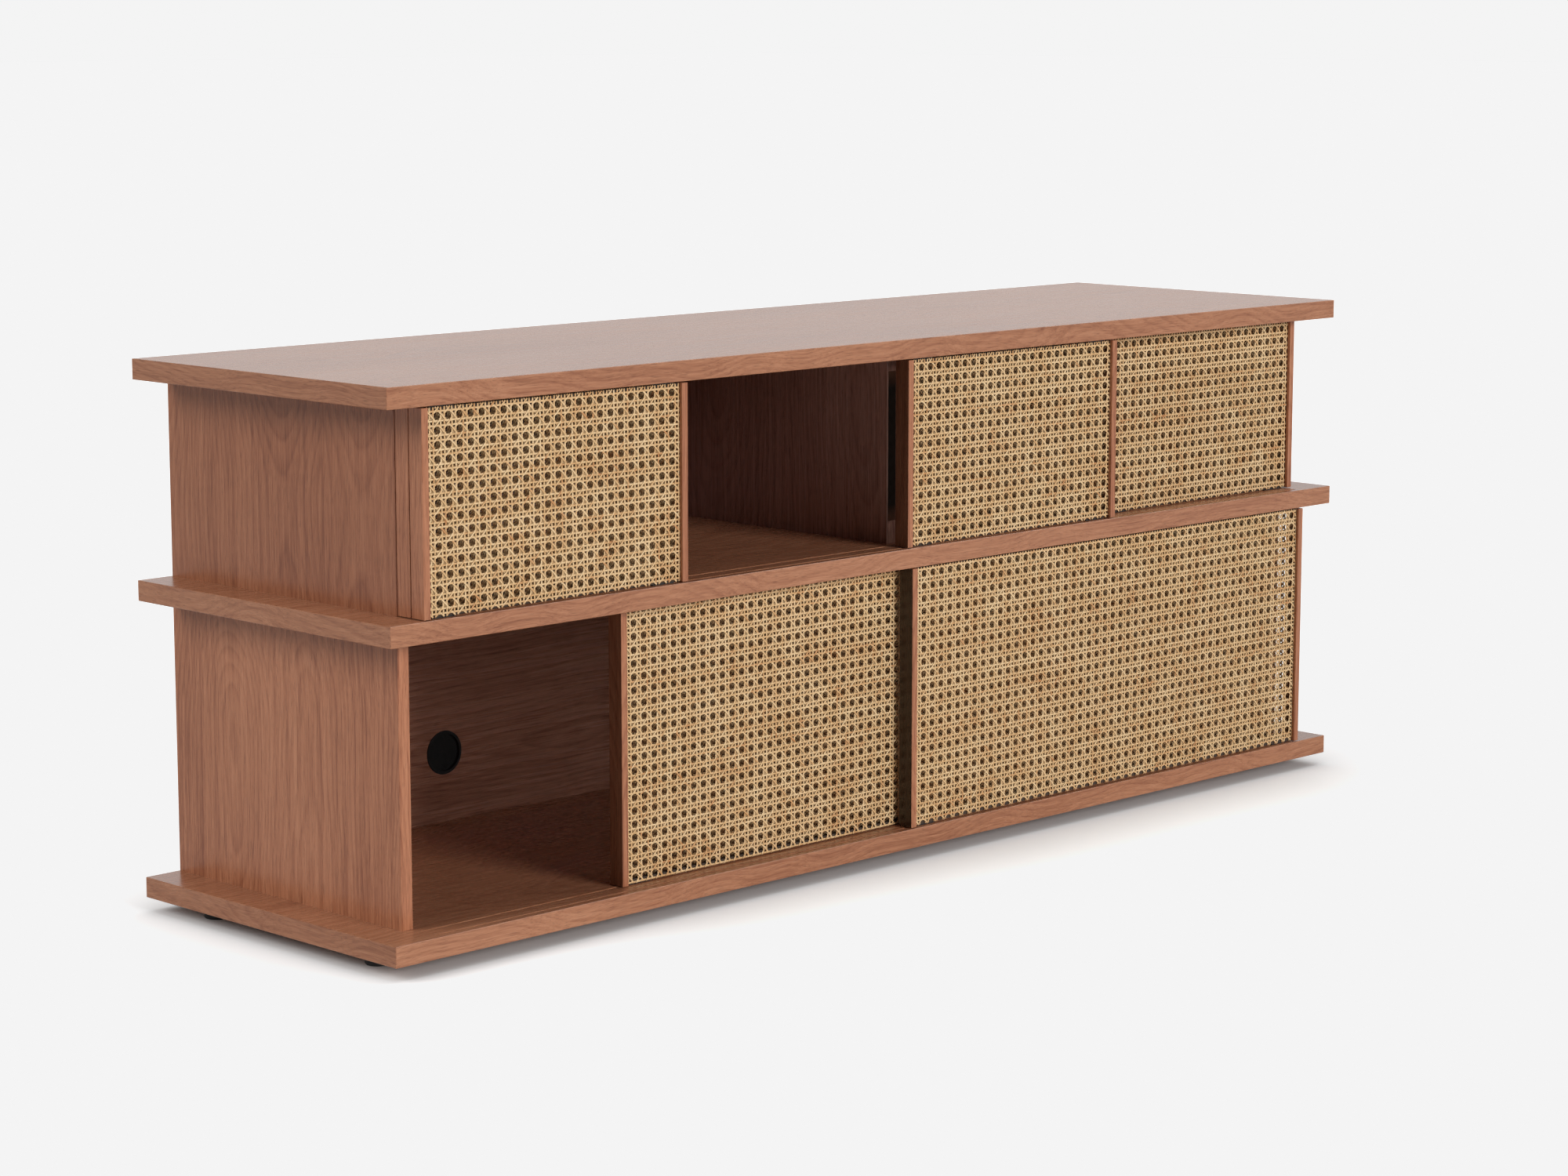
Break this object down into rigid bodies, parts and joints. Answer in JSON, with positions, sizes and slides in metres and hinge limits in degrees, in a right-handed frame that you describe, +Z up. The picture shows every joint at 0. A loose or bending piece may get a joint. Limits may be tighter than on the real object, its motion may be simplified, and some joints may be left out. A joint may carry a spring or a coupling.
{
  "type": "media cabinet",
  "caption": "Long low media cabinet: overhanging flat boards carry an upper and a lower tier of sliding woven cane doors over divided compartments, on low round feet.",
  "frame": {"origin": "centre of the footprint at floor level", "axes": "+X along the length to the right as seen from the front, +Y from front to back, +Z up"},
  "size_m": [1.8, 0.5, 0.7031],
  "materials": {
    "board_veneer": "satin lacquered veneer",
    "upright_veneer": "satin lacquered veneer",
    "back_veneer": "satin lacquered veneer",
    "door_wood": "satin lacquered",
    "rail_metal": "dark powder coat",
    "cane": "woven rattan cane, natural",
    "pile": "black pile",
    "port_plastic": "matt",
    "port_rubber": "matt",
    "foot_plastic": "matt",
    "glide_plastic": "satin",
    "beech": "raw",
    "zinc_cast": "as cast",
    "zinc_plated": "bright plated"
  },
  "bodies": {
    "carcass": {"top_board": "board_veneer", "middle_board": "board_veneer", "bottom_board": "board_veneer", "upper_left_side": "upright_veneer", "upper_right_side": "upright_veneer", "lower_left_side": "upright_veneer", "lower_right_side": "upright_veneer", "upper_divider": "upright_veneer", "lower_divider": "upright_veneer", "upper_back_panel": "back_veneer", "lower_back_panel": "back_veneer", "divider_pile_strips": "pile", "cable_port_rings": "port_plastic", "cable_port_membranes": "port_rubber", "feet": "foot_plastic", "dowels": "beech", "cam_locks": "zinc_cast", "cam_bolts": "zinc_plated"},
    "upper_left_front_door": {"upper_left_front_door_left_stile": "door_wood", "upper_left_front_door_right_stile": "door_wood", "upper_left_front_door_top_rail": "rail_metal", "upper_left_front_door_bottom_rail": "rail_metal", "upper_left_front_door_front_cane": "cane", "upper_left_front_door_back_cane": "cane", "upper_left_front_door_glides": "glide_plastic"},
    "upper_left_rear_door": {"upper_left_rear_door_left_stile": "door_wood", "upper_left_rear_door_right_stile": "door_wood", "upper_left_rear_door_top_rail": "rail_metal", "upper_left_rear_door_bottom_rail": "rail_metal", "upper_left_rear_door_front_cane": "cane", "upper_left_rear_door_back_cane": "cane", "upper_left_rear_door_glides": "glide_plastic"},
    "upper_right_front_door": {"upper_right_front_door_left_stile": "door_wood", "upper_right_front_door_right_stile": "door_wood", "upper_right_front_door_top_rail": "rail_metal", "upper_right_front_door_bottom_rail": "rail_metal", "upper_right_front_door_front_cane": "cane", "upper_right_front_door_back_cane": "cane", "upper_right_front_door_glides": "glide_plastic"},
    "upper_right_rear_door": {"upper_right_rear_door_left_stile": "door_wood", "upper_right_rear_door_right_stile": "door_wood", "upper_right_rear_door_top_rail": "rail_metal", "upper_right_rear_door_bottom_rail": "rail_metal", "upper_right_rear_door_front_cane": "cane", "upper_right_rear_door_back_cane": "cane", "upper_right_rear_door_glides": "glide_plastic"},
    "lower_front_door": {"lower_front_door_left_stile": "door_wood", "lower_front_door_right_stile": "door_wood", "lower_front_door_top_rail": "rail_metal", "lower_front_door_bottom_rail": "rail_metal", "lower_front_door_front_cane": "cane", "lower_front_door_back_cane": "cane", "lower_front_door_glides": "glide_plastic"},
    "lower_rear_door": {"lower_rear_door_left_stile": "door_wood", "lower_rear_door_right_stile": "door_wood", "lower_rear_door_top_rail": "rail_metal", "lower_rear_door_bottom_rail": "rail_metal", "lower_rear_door_front_cane": "cane", "lower_rear_door_back_cane": "cane", "lower_rear_door_glides": "glide_plastic"}
  },
  "joints": [
    {"name": "upper_left_front_door_slide", "type": "slide", "parent": "carcass", "child": "upper_left_front_door", "axis": [1, 0, 0], "range_m": [0, 0.399]},
    {"name": "upper_left_rear_door_slide", "type": "slide", "parent": "carcass", "child": "upper_left_rear_door", "axis": [1, 0, 0], "range_m": [0, 0.423]},
    {"name": "upper_right_front_door_slide", "type": "slide", "parent": "carcass", "child": "upper_right_front_door", "axis": [1, 0, 0], "range_m": [0, 0.4435]},
    {"name": "upper_right_rear_door_slide", "type": "slide", "parent": "carcass", "child": "upper_right_rear_door", "axis": [1, 0, 0], "range_m": [-0.414, 0.0055]},
    {"name": "lower_front_door_slide", "type": "slide", "parent": "carcass", "child": "lower_front_door", "axis": [1, 0, 0], "range_m": [-0.8352, 0.0088]},
    {"name": "lower_rear_door_slide", "type": "slide", "parent": "carcass", "child": "lower_rear_door", "axis": [1, 0, 0], "range_m": [-0.3339, 0.5101]}
  ]
}
